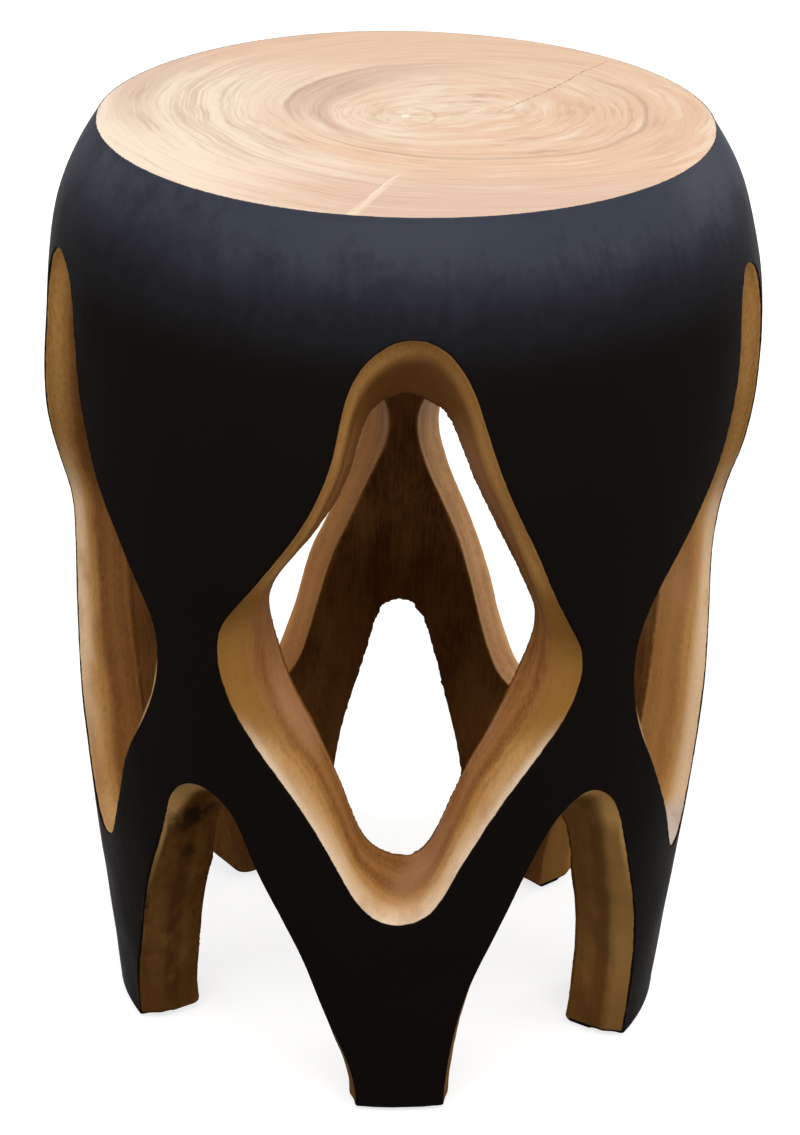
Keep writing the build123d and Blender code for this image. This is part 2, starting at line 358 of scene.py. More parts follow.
def dressed_log():
    """The log with its black coat, in one closed mesh."""
    log = piece_from(merged("carved_log"), "carved_log_dressed")
    stoppers = plugs()
    with_modifier(log, "BOOLEAN", operation="UNION", solver="EXACT", object=stoppers)
    bpy.data.objects.remove(stoppers)
    with_modifier(log, "REMESH", mode="VOXEL", voxel_size=GRAIN_OF_MESH, adaptivity=0)

    mesh = log.data
    points = rows_of(mesh.vertices, "co", 3)
    edges = rows_of(mesh.edges, "vertices", 2, np.int64)

    # The edges that the remeshing chipped are made clean again.
    points, on_line = on_edge_line(points, edges)
    points = relaxed(points, edges, np.where(on_line, 0.0, 1.0), 2)

    heights, radii = skin_profile()
    around = np.hypot(points[:, 0], points[:, 1])
    skin = np.interp(points[:, 2], heights, radii)
    on_top = smooth_step(points[:, 2], TOP - 0.0016, TOP - 0.0008)
    at_rim = smooth_step(around, 0.7 * skin, skin)

    # The coat's thickness goes back on the skin, outside the wood.
    out = points.copy()
    out[:, 2] = 0
    out /= np.maximum(around, 1e-6)[:, None]
    bare_depth = skin - around - COAT_THICKNESS
    lift = COAT_THICKNESS * (1 - smooth_step(bare_depth, 0.0004, 0.004)) * np.maximum(1 - on_top, at_rim)
    points += out * lift[:, None]
    depth = skin - around - lift

    # Sanded edges: soft where the bevel meets the cut, less so at the hollow, crisp at the coat.
    softness = smooth_step(depth, 0.0015, 0.006)
    softness *= 1 - 0.88 * smooth_step(depth, 0.022, 0.029)
    softness *= 1 - 0.6 * (1 - smooth_step(points[:, 2], LEGS_END + 0.004, LEGS_END + 0.012))
    softness *= 1 - smooth_step(points[:, 2], TOP - 0.004, TOP - 0.002)
    # Low down, smoothing would make the hollow's edge wavy, so its points stay where they are.
    kept_edge = on_line & (depth > KEPT_EDGE_DEPTH) & (points[:, 2] < KEPT_EDGE_HEIGHT)
    strength = np.where(kept_edge, 0, np.maximum(softness, 0.03))
    shaped = relaxed(points, edges, strength, SMOOTHING_ROUNDS)

    # The carver's hand: cut faces are a little uneven, and the skin is never outside the turned log.
    mesh.vertices.foreach_set("co", shaped.ravel())
    mesh.update()
    normals = rows_of(mesh.vertices, "normal", 3)
    cut = smooth_step(depth, 0.002, 0.012) * (1 - on_top)
    uneven = 0.00035 * waves(points, 0.050, 36, 3) + 0.00008 * waves(points, 0.018, 36, 5)
    uneven *= cut * smooth_step(points[:, 2], LEGS_END, LEGS_END + 0.02)
    dents = 0.0002 * np.minimum(waves(points, 0.05, 36, 7) - 2, 0) * (1 - cut) * (1 - on_top)
    shaped += normals * (uneven + dents)[:, None]
    shaped[:, 2] -= TOP_SINK * (1 + 0.3 * waves(points, 0.09, 24, 9)) * on_top

    # The log isn't quite round: its left side is a little flat at the shoulder and the rim.
    angle = angle_of(points)
    at_shoulder = hump(points[:, 2], SHOULDER_HEIGHT, SHOULDER_SPREAD)
    flat = SHOULDER_FLAT * hump(angle, SHOULDER_FLAT_AT, FLAT_TURN) * at_shoulder
    flat += RIM_FLAT * hump(angle, RIM_FLAT_AT, FLAT_TURN) * smooth_step(points[:, 2], RIM_FROM, TOP)
    shaped -= out * (flat * at_rim)[:, None]
    worn_feet(shaped)

    mesh.vertices.foreach_set("co", shaped.ravel())
    split_along(mesh, on_line)
    mesh.update()
    mesh.polygons.foreach_set("use_smooth", np.ones(len(mesh.polygons), dtype=bool))
    put_attribute(mesh, "skin_depth_mm", depth * 1000)
    return log


# ---- shader nodes ----
def put(tree, kind, inputs=None, **settings):
    """Adds a node. An input's value is a number, a colour, or another node's output."""
    node = tree.nodes.new(kind)
    for key, value in settings.items():
        setattr(node, key, value)
    for key, value in (inputs or {}).items():
        if isinstance(value, bpy.types.NodeSocket):
            tree.links.new(value, node.inputs[key])
        else:
            node.inputs[key].default_value = value
    return node


def maths(tree, operation, first, second=0.0):
    return put(tree, "ShaderNodeMath", {0: first, 1: second}, operation=operation).outputs[0]


def weighed(tree, *pairs):
    """The sum of numbers, each times its weight."""
    total = 0.0
    for value, weight in pairs:
        total = maths(tree, "ADD", maths(tree, "MULTIPLY", value, weight), total)
    return total


def step(tree, value, low, high):
    """0 below low, 1 above high, with a soft passage."""
    node = put(tree, "ShaderNodeMapRange", {"Value": value}, interpolation_type="SMOOTHSTEP")
    node.inputs["From Min"].default_value = low
    node.inputs["From Max"].default_value = high
    return node.outputs["Result"]


def blend(tree, share, first, second):
    """A mix of two colours, each a colour or another node's output."""
    node = put(tree, "ShaderNodeMix", data_type="RGBA")
    for index, value in ((0, share), (6, first), (7, second)):
        if isinstance(value, bpy.types.NodeSocket):
            tree.links.new(value, node.inputs[index])
        elif index:
            node.inputs[index].default_value = (*value, 1)
        else:
            node.inputs[index].default_value = value
    return node.outputs[2]


def noise(tree, vector, scale, detail=2.0, roughness=0.5):
    inputs = {"Vector": vector, "Scale": scale, "Detail": detail, "Roughness": roughness}
    return put(tree, "ShaderNodeTexNoise", inputs).outputs[0]


def stripes(tree, value, spacing, detail=1.0):
    """Bands of uneven width along one value."""
    inputs = {"W": maths(tree, "DIVIDE", value, spacing), "Scale": 1.0, "Detail": detail}
    return put(tree, "ShaderNodeTexNoise", inputs, noise_dimensions="1D").outputs[0]


def stretched(tree, vector, scale):
    return put(tree, "ShaderNodeVectorMath", {0: vector, 1: scale}, operation="MULTIPLY").outputs[0]


def length_of(tree, across, along):
    squares = [(maths(tree, "MULTIPLY", value, value), 1.0) for value in (across, along)]
    return maths(tree, "POWER", weighed(tree, *squares), 0.5)


def times(tree, *values):
    """The product of numbers and other nodes' outputs."""
    product = 1.0
    for value in values:
        product = maths(tree, "MULTIPLY", value, product)
    return product


def band(tree, value, low, high, soft):
    """1 from low to high, 0 further than soft outside them."""
    return times(tree, step(tree, value, low - soft, low), step(tree, value, high + soft, high))


def near_to(tree, value, middle, width):
    """1 at the middle, 0 further than the width from it."""
    away = maths(tree, "ABSOLUTE", maths(tree, "SUBTRACT", value, middle))
    return step(tree, away, width, 0.0)


def blot(tree, mm, middle, reach):
    """1 in the middle of a ragged spot, 0 outside it."""
    away = put(tree, "ShaderNodeVectorMath", {0: mm, 1: middle}, operation="SUBTRACT").outputs[0]
    away = stretched(tree, away, tuple(1 / size for size in reach))
    length = put(tree, "ShaderNodeVectorMath", {0: away}, operation="LENGTH").outputs[1]
    ragged = maths(tree, "SUBTRACT", noise(tree, mm, 0.16, 3.0, 0.6), 0.5)
    return step(tree, weighed(tree, (length, 1.0), (ragged, 1.1)), 1.0, 0.25)


def material(name, **plain):
    """A material with its Principled shader. What is the same all over goes on its own sockets."""
    made = bpy.data.materials.new(name)
    made.use_nodes = True
    tree = made.node_tree
    shader = tree.nodes["Principled BSDF"]
    for key, value in plain.items():
        shader.inputs[key.replace("_", " ")].default_value = value
    return made, tree, shader


def feed(tree, shader, **outputs):
    """Links what varies over the surface to the shader's sockets of those names."""
    for key, output in outputs.items():
        tree.links.new(output, shader.inputs[key.replace("_", " ")])


def object_place(tree):
    return put(tree, "ShaderNodeTexCoord").outputs["Object"]


def bump(tree, height, distance, strength=1.0, normal=None):
    inputs = {"Height": height, "Distance": distance, "Strength": strength}
    if normal is not None:
        inputs["Normal"] = normal
    return put(tree, "ShaderNodeBump", inputs).outputs[0]


# ---- colours ----
# Sapwood with painted highlight: paler low down, whitish beside the coat, greyish low on the right
SAPWOOD_PAINTED_HIGHLIGHT = (0.82, 0.57, 0.36)
WHITE_SAPWOOD_AND_HIGHLIGHT = (0.84, 0.67, 0.50)
GREY_PAINTED_HIGHLIGHT = (0.60, 0.50, 0.41)
SAPWOOD = (0.56, 0.30, 0.095)
SAPWOOD_STREAK = (0.36, 0.175, 0.050)
HEARTWOOD = (0.36, 0.158, 0.048)
HEARTWOOD_STREAK = (0.18, 0.072, 0.020)
HEARTWOOD_PINK = (0.46, 0.230, 0.120)
LEAF_WOOD = (0.96, 0.56, 0.270)
LEAF_PALE = (0.80, 0.61, 0.480)
LEAF_WARM = (0.76, 0.370, 0.130)
CORNER_WOOD = (0.29, 0.138, 0.030)
# Painted shade at the front window's crown
CROWN_PAINTED_SHADE = (0.185, 0.080, 0.019)
# Painted light at the arches' crowns and lower edges
ARCH_PAINTED_LIGHT = (0.96, 0.580, 0.210)
# The arches' wood tones, darker than the cut wood as painted shade
ARCH_EDGE = (0.47, 0.255, 0.080)
ARCH_OUTER = (0.215, 0.101, 0.025)
ARCH_DARK = (0.100, 0.040, 0.009)
ARCH_INNER = (0.235, 0.104, 0.024)
ARCH_LIGHT = (0.40, 0.200, 0.056)
KNOT = (0.020, 0.011, 0.006)
HOLLOW = (0.200, 0.082, 0.022)
HOLLOW_LIGHT = (0.400, 0.185, 0.062)
HOLLOW_STREAK = (0.100, 0.038, 0.011)
TOP_CREAM = (0.80, 0.655, 0.505)
TOP_LIGHT = (0.86, 0.730, 0.590)
TOP_PEACH = (0.75, 0.510, 0.365)
TOP_MAUVE = (0.62, 0.455, 0.365)
TOP_RING = (0.50, 0.335, 0.240)
PITH = (0.93, 0.84, 0.68)
COAT = (0.0078, 0.0062, 0.0055)
# A bluish sheen, painted on the coat's shoulder
COAT_PAINTED_SHEEN = (0.039, 0.045, 0.063)
BROWN_RESIN = ((0.34, 0.20, 0.125), (0.66, 0.47, 0.33))
PALE_RESIN = ((0.90, 0.74, 0.56), (0.80, 0.60, 0.42))
GLIDE_PLASTIC = (0.030, 0.020, 0.015)
GLIDE_SCUFFED = (0.075, 0.058, 0.048)
ZINC = (0.50, 0.50, 0.49)
ZINC_LIGHT = (0.66, 0.66, 0.64)

# Marks in the wood: middle and reach in mm
KNOTS = [
    ((-104, -112, 157), (19, 15, 14)),
    ((-106, -100, 131), (6, 9, 8)),
    ((-133, -98, 88), (8, 10, 34)),
]
RIM_CHIP = ((-87.5, -136.5, 500.5), (3.2, 2.4, 1.8))

# The arches: how many there are, where the first is in degrees, and where their crowns' wood ends
ARCH_COUNT = 5
ARCH_ANGLE = 36.3
ARCH_SWING_MM = 45.0
ARCH_WOOD_MM = (158, 142)

# At what depth in the log the hollow's own wood begins
HOLLOW_DEPTH_MM = (31.5, 33.2)


def long_grain(tree, mm, axes, depth, cloud, fibre, fine_fibre):
    """The wood of the cuts and of the hollow, with light and shade painted into parts of it. Its layers
    follow the depth in the log, as the rings do.
    """
    across, along, height = axes
    down = maths(tree, "MULTIPLY", height, -1.0)
    left, right = step(tree, across, -105, -135), step(tree, across, 105, 135)
    beside = maths(tree, "ADD", left, right)
    in_front = maths(tree, "SUBTRACT", 1.0, beside)
    behind = step(tree, along, 60, 100)
    leftwards = step(tree, across, -40, -120)

    layer = stripes(tree, weighed(tree, (depth, 1.0), (cloud, 9.0)), 5.0)
    grain = weighed(tree, (layer, 0.5), (fibre, 0.5))
    sap = blend(tree, step(tree, grain, 0.36, 0.70), SAPWOOD, SAPWOOD_STREAK)
    corner = times(tree, band(tree, height, 238, 305, 22), in_front, 0.85)
    high_up = times(tree, step(tree, height, 385, 420), in_front, 0.30)
    sap = blend(tree, maths(tree, "MAXIMUM", corner, high_up), sap, CORNER_WOOD)
    # Painted highlight: the sapwood is painted paler low down, in a band on the left and low on the right,
    # where the cut faces catch the light.
    low_down = step(tree, weighed(tree, (down, 1.0), (cloud, 60.0)), -215, -120)
    low_down = times(tree, low_down, weighed(tree, (left, -0.75), (1.0, 0.95)))
    light_left = times(tree, left, band(tree, height, 200, 270, 60), step(tree, cloud, 0.28, 0.46), 1.15)
    light_right = times(tree, right, step(tree, height, 330, 270))
    painted_highlight = weighed(tree, (low_down, 1.0), (light_left, 0.85), (light_right, 0.95))
    painted_highlight = maths(tree, "MINIMUM", painted_highlight, 1.0)
    painted_highlight = times(tree, painted_highlight, step(tree, depth, 13.0, 4.0), weighed(tree, (fibre, 0.5), (1.0, 0.70)))
    sap = blend(tree, maths(tree, "MINIMUM", painted_highlight, 1.0), sap, SAPWOOD_PAINTED_HIGHLIGHT)
    # Pale sapwood beside the coat low on the front, with a painted whitish highlight.
    at_coat = times(tree, step(tree, depth, 6.0, 2.0), step(tree, height, 245, 215), in_front, 0.7)
    sap = blend(tree, at_coat, sap, WHITE_SAPWOOD_AND_HIGHLIGHT)
    # A painted greyish highlight low on the right.
    tip = times(tree, band(tree, height, 108, 119, 12), step(tree, across, 90, 130))
    sap = blend(tree, tip, sap, GREY_PAINTED_HIGHLIGHT)

    heart = blend(tree, step(tree, grain, 0.34, 0.70), HEARTWOOD, HEARTWOOD_STREAK)
    pink = step(tree, noise(tree, stretched(tree, mm, (0.02, 0.02, 0.007)), 1.0, 2.0), 0.46, 0.66)
    pink = times(tree, pink, maths(tree, "SUBTRACT", 1.0, leftwards), 0.7)
    heart = blend(tree, pink, heart, HEARTWOOD_PINK)
    heart = blend(tree, times(tree, leftwards, 0.45), heart, HEARTWOOD_STREAK)
    heart = blend(tree, times(tree, right, 0.35), heart, SAPWOOD)
    heart_edge = weighed(tree, (depth, 1.0), (maths(tree, "SUBTRACT", cloud, 0.5), 12.0))
    cut = blend(tree, step(tree, heart_edge, 8.5, 17.5), sap, heart)
    # Painted shade: the front window's crown, which faces down, is painted dark.
    crown = times(tree, step(tree, height, 385, 412), step(tree, depth, 8, 16), in_front, 0.9)
    cut = blend(tree, crown, cut, CROWN_PAINTED_SHADE)
    leaf_grain = times(tree, step(tree, grain, 0.38, 0.72), 0.6)
    right_leaf = blend(tree, step(tree, height, 240, 340), LEAF_WOOD, LEAF_PALE)
    leaf = blend(tree, step(tree, across, 0, -20), right_leaf, LEAF_WARM)
    leaf = blend(tree, leaf_grain, leaf, HEARTWOOD_PINK)
    cut = blend(tree, times(tree, behind, 0.85), cut, leaf)
    near_side = times(tree, beside, step(tree, along, -75, -95), band(tree, height, 190, 340, 20), 0.8)
    cut = blend(tree, near_side, cut, ARCH_OUTER)

    # Round the arches the wood is painted darker and browner, as painted shade where little light reaches.
    turn = maths(tree, "ARCTAN2", across, maths(tree, "MULTIPLY", along, -1.0))
    first_arch = -math.radians(ARCH_COUNT * ARCH_ANGLE)
    wave = maths(tree, "COSINE", weighed(tree, (turn, ARCH_COUNT), (1.0, first_arch)))
    arch = step(tree, weighed(tree, (height, 1.0), (wave, -ARCH_SWING_MM)), *ARCH_WOOD_MM)
    uneven_depth = weighed(tree, (depth, 1.0), (maths(tree, "SUBTRACT", cloud, 0.5), 14.0))
    dark_layer = times(tree, band(tree, uneven_depth, 14.5, 18.5, 5.0), 0.75)
    shaded_arch_wood = blend(tree, step(tree, uneven_depth, 11, 19), ARCH_OUTER, ARCH_INNER)
    shaded_arch_wood = blend(tree, dark_layer, shaded_arch_wood, ARCH_DARK)
    smoky = noise(tree, stretched(tree, mm, (0.05, 0.05, 0.022)), 1.0, 4.0, 0.62)
    shaded_arch_wood = blend(tree, times(tree, step(tree, smoky, 0.46, 0.66), 0.75), shaded_arch_wood, ARCH_DARK)
    shaded_arch_wood = blend(tree, times(tree, step(tree, smoky, 0.46, 0.30), 0.35), shaded_arch_wood, ARCH_EDGE)
    shaded_arch_wood = blend(tree, times(tree, step(tree, grain, 0.42, 0.72), 0.5), shaded_arch_wood, ARCH_DARK)
    # The painted shade is lighter on the right front.
    right_front = times(tree, step(tree, across, 20, 60), step(tree, along, 20, -20))
    right_light = weighed(tree, (step(tree, uneven_depth, 16, 10), 0.56), (1.0, 0.20))
    shaded_arch_wood = blend(tree, times(tree, right_front, right_light), shaded_arch_wood, ARCH_EDGE)
    # More painted shade at the feet, towards the left and at the back left foot.
    at_foot = times(tree, step(tree, height, 60, 5), weighed(tree, (leftwards, 0.30), (1.0, 0.50)))
    back_foot = times(tree, behind, step(tree, across, -30, -60), step(tree, height, 110, 60), 0.75)
    painted_shade = maths(tree, "MAXIMUM", at_foot, back_foot)
    painted_shade = maths(tree, "MAXIMUM", painted_shade, times(tree, leftwards, 0.28))
    shaded_arch_wood = blend(tree, painted_shade, shaded_arch_wood, ARCH_DARK)
    # Less painted shade at the back right.
    shaded_arch_wood = blend(tree, times(tree, step(tree, across, 40, 80), behind, 0.7), shaded_arch_wood, ARCH_LIGHT)
    # Painted light: the arches' lower edges get a painted highlight, and their crowns, which face down,
    # painted light as from the floor below.
    at_edge = times(tree, step(tree, depth, 5.0, 2.0), step(tree, height, 96, 150), 0.6)
    at_crown = times(tree, step(tree, uneven_depth, 12.0, 6.0), step(tree, height, 148, 164), 0.62)
    shaded_arch_wood = blend(tree, maths(tree, "MAXIMUM", at_edge, at_crown), shaded_arch_wood, ARCH_PAINTED_LIGHT)
    cut = blend(tree, arch, cut, shaded_arch_wood)
    for middle, reach in KNOTS:
        cut = blend(tree, times(tree, blot(tree, mm, middle, reach), 0.85), cut, KNOT)

    lighter = times(tree, behind, step(tree, height, 170, 230), 0.8)
    hollow = blend(tree, lighter, HOLLOW, HOLLOW_LIGHT)
    # Painted shade inside the hollow, at the back left foot.
    hollow = blend(tree, back_foot, hollow, ARCH_DARK)
    right_wall = times(tree, step(tree, across, 70, 100), band(tree, height, 215, 330, 25), 0.8)
    hollow = blend(tree, right_wall, hollow, heart)
    patchy = noise(tree, stretched(tree, mm, (0.035, 0.035, 0.018)), 1.0, 4.0, 0.6)
    streaked = step(tree, weighed(tree, (fibre, 0.4), (patchy, 0.6)), 0.40, 0.66)
    hollow = blend(tree, streaked, hollow, HOLLOW_STREAK)
    wood = blend(tree, step(tree, depth, *HOLLOW_DEPTH_MM), cut, hollow)
    mottled = noise(tree, stretched(tree, mm, (0.07, 0.07, 0.028)), 1.0, 4.0, 0.62)
    wood = blend(tree, times(tree, step(tree, mottled, 0.50, 0.72), 0.30), wood, HEARTWOOD)
    pores = times(tree, step(tree, fine_fibre, 0.54, 0.72), 0.38)
    return blend(tree, pores, wood, HEARTWOOD_STREAK)


def end_grain(tree, mm, axes, cloud):
    """The top's growth rings: round at the pith, shifted further out, brushed along their lines."""
    across, along, _ = axes
    from_pith = length_of(tree, across, along)
    shifted = step(tree, from_pith, 2, 62)
    ring_x = maths(tree, "SUBTRACT", across, maths(tree, "MULTIPLY", shifted, RING_SHIFT_MM[0]))
    ring_y = maths(tree, "SUBTRACT", along, maths(tree, "MULTIPLY", shifted, RING_SHIFT_MM[1]))
    plain_ring = length_of(tree, ring_x, maths(tree, "MULTIPLY", ring_y, RING_SQUASH))
    way_x, way_y = (
        maths(tree, "DIVIDE", value, maths(tree, "MAXIMUM", plain_ring, 1.0)) for value in (ring_x, ring_y)
    )
    waver = noise(tree, stretched(tree, mm, (0.016, 0.016, 0.005)), 1.0, 3.0)
    waver = maths(tree, "SUBTRACT", waver, 0.5)
    fine_waver = noise(tree, stretched(tree, mm, (0.09, 0.09, 0.012)), 1.0, 2.0)
    fine_waver = maths(tree, "SUBTRACT", fine_waver, 0.5)
    ring = weighed(tree, (plain_ring, 1.0), (waver, 14.0), (fine_waver, 1.4))

    def brushed(closeness, turns, detail):
        pairs = ((ring, closeness), (way_x, turns), (way_y, turns))
        inputs = {index: times(tree, *pair) for index, pair in enumerate(pairs)}
        place = put(tree, "ShaderNodeCombineXYZ", inputs).outputs[0]
        return noise(tree, place, 1.0, detail, 0.55)

    broad = brushed(0.060, 0.9, 2.0)
    medium = brushed(0.17, 1.7, 3.0)
    fine = brushed(0.60, 3.2, 4.0)
    hair = brushed(2.0, 6.0, 3.0)

    leftwards = step(tree, way_x, -0.35, -0.90)
    back_left = step(tree, weighed(tree, (way_x, -0.75), (way_y, 0.65)), 0.35, 0.90)
    front_right = step(tree, weighed(tree, (way_x, 0.6), (way_y, -0.8)), -0.35, 0.55)
    warm_side = step(tree, weighed(tree, (across, 0.8), (along, -0.6)), -70, 130)

    warmth = weighed(tree, (broad, 0.60), (medium, 0.40), (warm_side, 0.26))
    wood = blend(tree, step(tree, warmth, 0.44, 0.78), TOP_CREAM, TOP_PEACH)
    wood = blend(tree, times(tree, step(tree, medium, 0.46, 0.34), 0.40), wood, TOP_LIGHT)
    wood = blend(tree, times(tree, leftwards, step(tree, ring, 100, 125), 0.80), wood, TOP_LIGHT)
    mauve_arcs = weighed(tree, (band(tree, ring, 140, 149, 7), 0.55), (band(tree, ring, 120, 127, 5), 0.40))
    mauve_arcs = times(tree, mauve_arcs, leftwards, step(tree, fine, 0.36, 0.56))
    wood = blend(tree, mauve_arcs, wood, TOP_MAUVE)
    wood = blend(tree, times(tree, band(tree, ring, 166, 180, 7), back_left, 0.7), wood, TOP_MAUVE)
    patch = times(tree, step(tree, ring, 56, 86), step(tree, ring, 95, 91), back_left)
    wood = blend(tree, times(tree, patch, 0.9), wood, TOP_MAUVE)
    dark_lines = times(tree, step(tree, medium, 0.54, 0.72), step(tree, cloud, 0.34, 0.60), 0.56)
    wood = blend(tree, dark_lines, wood, TOP_RING)
    strong = weighed(tree, (front_right, 0.60), (back_left, 0.65), (1.0, 0.10))
    wood = blend(tree, times(tree, near_to(tree, ring, 92.5, 3.0), strong), wood, TOP_RING)
    wood = blend(tree, times(tree, near_to(tree, ring, 84.5, 1.4), strong, 0.5), wood, TOP_RING)
    wood = blend(tree, times(tree, near_to(tree, from_pith, 15.5, 1.4), 0.35), wood, TOP_RING)
    wood = blend(tree, times(tree, near_to(tree, ring, 68, 14), leftwards, 0.55), wood, TOP_RING)
    front_tan = times(tree, step(tree, along, -70, -125), step(tree, across, -110, 0), 0.55)
    wood = blend(tree, front_tan, wood, TOP_MAUVE)
    wood = blend(tree, times(tree, step(tree, along, 50, 110), 0.75), wood, TOP_PEACH)
    wood = blend(tree, times(tree, step(tree, fine, 0.50, 0.74), 0.32), wood, TOP_RING)
    wood = blend(tree, times(tree, step(tree, fine, 0.46, 0.30), 0.28), wood, TOP_LIGHT)
    wood = blend(tree, times(tree, step(tree, hair, 0.50, 0.76), 0.30), wood, TOP_RING)
    speckle = noise(tree, mm, 1.3, 3.0, 0.6)
    wood = blend(tree, times(tree, step(tree, speckle, 0.55, 0.75), 0.16), wood, TOP_RING)

    # The short check has stained the wood pale beside it, wider towards the edge.
    ends = (SHORT_CHECK[0], SHORT_CHECK[-1])
    (start_x, start_y), (end_x, end_y) = [(1000 * x, 1000 * y) for x, y in ends]
    length = math.hypot(end_x - start_x, end_y - start_y)
    ahead_x, ahead_y = (end_x - start_x) / length, (end_y - start_y) / length
    origin = -(start_x * ahead_x + start_y * ahead_y)
    share = times(tree, weighed(tree, (across, ahead_x), (along, ahead_y), (1.0, origin)), 1 / length)
    aside = weighed(tree, (across, ahead_y), (along, -ahead_x), (1.0, start_y * ahead_x - start_x * ahead_y))
    reach = weighed(tree, (share, 2.8), (1.0, 0.8))
    halo = step(tree, maths(tree, "DIVIDE", maths(tree, "ABSOLUTE", aside), reach), 1.0, 0.2)
    wood = blend(tree, times(tree, halo, step(tree, share, 0.0, 0.6), 0.5), wood, TOP_LIGHT)
    return blend(tree, step(tree, from_pith, 3.0, 1.6), wood, PITH)


def wood_and_coat():
    made, tree, shader = material("wood_and_black_coat", Specular_IOR_Level=0.002, Coat_Roughness=0.38)
    mm = stretched(tree, object_place(tree), (1000, 1000, 1000))
    depth = put(tree, "ShaderNodeAttribute", attribute_name="skin_depth_mm").outputs["Fac"]
    split = put(tree, "ShaderNodeSeparateXYZ", {0: mm}).outputs
    axes = (split[0], split[1], split[2])
    height = axes[2]
    fibre = noise(tree, stretched(tree, mm, (0.75, 0.75, 0.028)), 1.0, 4.0, 0.65)
    fine_fibre = noise(tree, stretched(tree, mm, (2.2, 2.2, 0.06)), 1.0, 3.0, 0.7)
    cloud = noise(tree, mm, 0.022, 3.0)

    # Where the top is, and where the coat is: both end in a line that wavers by part of a millimetre.
    hand = times(tree, maths(tree, "SUBTRACT", noise(tree, mm, 0.12, 2.0), 0.5), 1.2)
    top_line = weighed(tree, (height, 1.0), (hand, 0.3))
    on_top = step(tree, top_line, TOP_MM - 1.05, TOP_MM - 0.75)
    long_wood = long_grain(tree, mm, axes, depth, cloud, fibre, fine_fibre)
    wood = blend(tree, on_top, long_wood, end_grain(tree, mm, axes, cloud))
    bare = step(tree, weighed(tree, (depth, 1.0), (hand, 1.0)), 0.75, 1.25)
    foot_line = weighed(tree, (height, 1.0), (hand, 0.8))
    above_foot = step(tree, foot_line, LEGS_END_MM + 1.5, LEGS_END_MM + 2.3)
    bare_top = times(tree, on_top, step(tree, weighed(tree, (depth, 1.0), (hand, 0.5)), 0.35, 0.85))
    bare = maths(tree, "MAXIMUM", times(tree, bare, above_foot), bare_top)
    bare = maths(tree, "MAXIMUM", bare, blot(tree, mm, *RIM_CHIP))

    # The coat is plain black; on the shoulder and under the rim a bluish sheen is painted into its colour,
    # fainter towards the left.
    streaks = noise(tree, stretched(tree, mm, (0.20, 0.20, 0.025)), 1.0, 4.0, 0.6)
    mottle = noise(tree, mm, 0.045, 3.0, 0.6)
    painted_sheen = weighed(tree, (step(tree, height, 425, 494), 0.58), (step(tree, height, 460, 502), 0.56))
    painted_sheen = times(tree, painted_sheen, weighed(tree, (streaks, 0.8), (mottle, 1.0), (painted_sheen, 0.10)))
    painted_sheen = times(tree, painted_sheen, weighed(tree, (step(tree, axes[0], -150, -30), 0.35), (1.0, 0.68)))
    colour = blend(tree, bare, blend(tree, painted_sheen, COAT, COAT_PAINTED_SHEEN), wood)
    gloss = times(tree, painted_sheen, maths(tree, "SUBTRACT", 1.0, bare), 0.05)

    coat_rough = weighed(tree, (streaks, 0.16), (mottle, 0.10), (1.0, 0.27))
    wood_rough = weighed(tree, (fibre, 0.20), (1.0, 0.46))
    roughs = {0: bare, 2: coat_rough, 3: wood_rough}
    rough = put(tree, "ShaderNodeMix", roughs, data_type="FLOAT").outputs[0]
    relief = bump(tree, weighed(tree, (fibre, 0.6), (fine_fibre, 0.4)), 0.0003, 0.4)
    relief = bump(tree, noise(tree, mm, 0.5, 2.0), 0.0002, 0.2, relief)
    feed(tree, shader, Base_Color=colour, Coat_Weight=gloss, Roughness=rough, Normal=relief)
    return made


def resin(name, colour, painted_shade):
    made, tree, shader = material(name)
    patches = noise(tree, object_place(tree), 420.0, 3.0)
    feed(
        tree,
        shader,
        Base_Color=blend(tree, step(tree, patches, 0.38, 0.62), colour, painted_shade),
        Roughness=weighed(tree, (patches, 0.3), (1.0, 0.35)),
        Normal=bump(tree, patches, 0.0001, 0.4),
    )
    return made


def moulded_plastic():
    made, tree, shader = material("glide_plastic")
    place = object_place(tree)
    texture = noise(tree, place, 1800.0, 3.0, 0.6)
    scuff = noise(tree, place, 260.0, 4.0, 0.65)
    feed(
        tree,
        shader,
        Base_Color=blend(tree, step(tree, scuff, 0.52, 0.70), GLIDE_PLASTIC, GLIDE_SCUFFED),
        Roughness=weighed(tree, (scuff, 0.3), (1.0, 0.42)),
        Normal=bump(tree, texture, 0.00008, 0.5),
    )
    return made


def plated_steel():
    made, tree, shader = material("zinc_plated_steel", Metallic=1.0)
    spangle = noise(tree, object_place(tree), 900.0, 3.0, 0.6)
    feed(
        tree,
        shader,
        Base_Color=blend(tree, spangle, ZINC, ZINC_LIGHT),
        Roughness=weighed(tree, (spangle, 0.25), (1.0, 0.28)),
    )
    return made


def only_material(piece, made):
    piece.data.materials.clear()
    piece.data.materials.append(made)


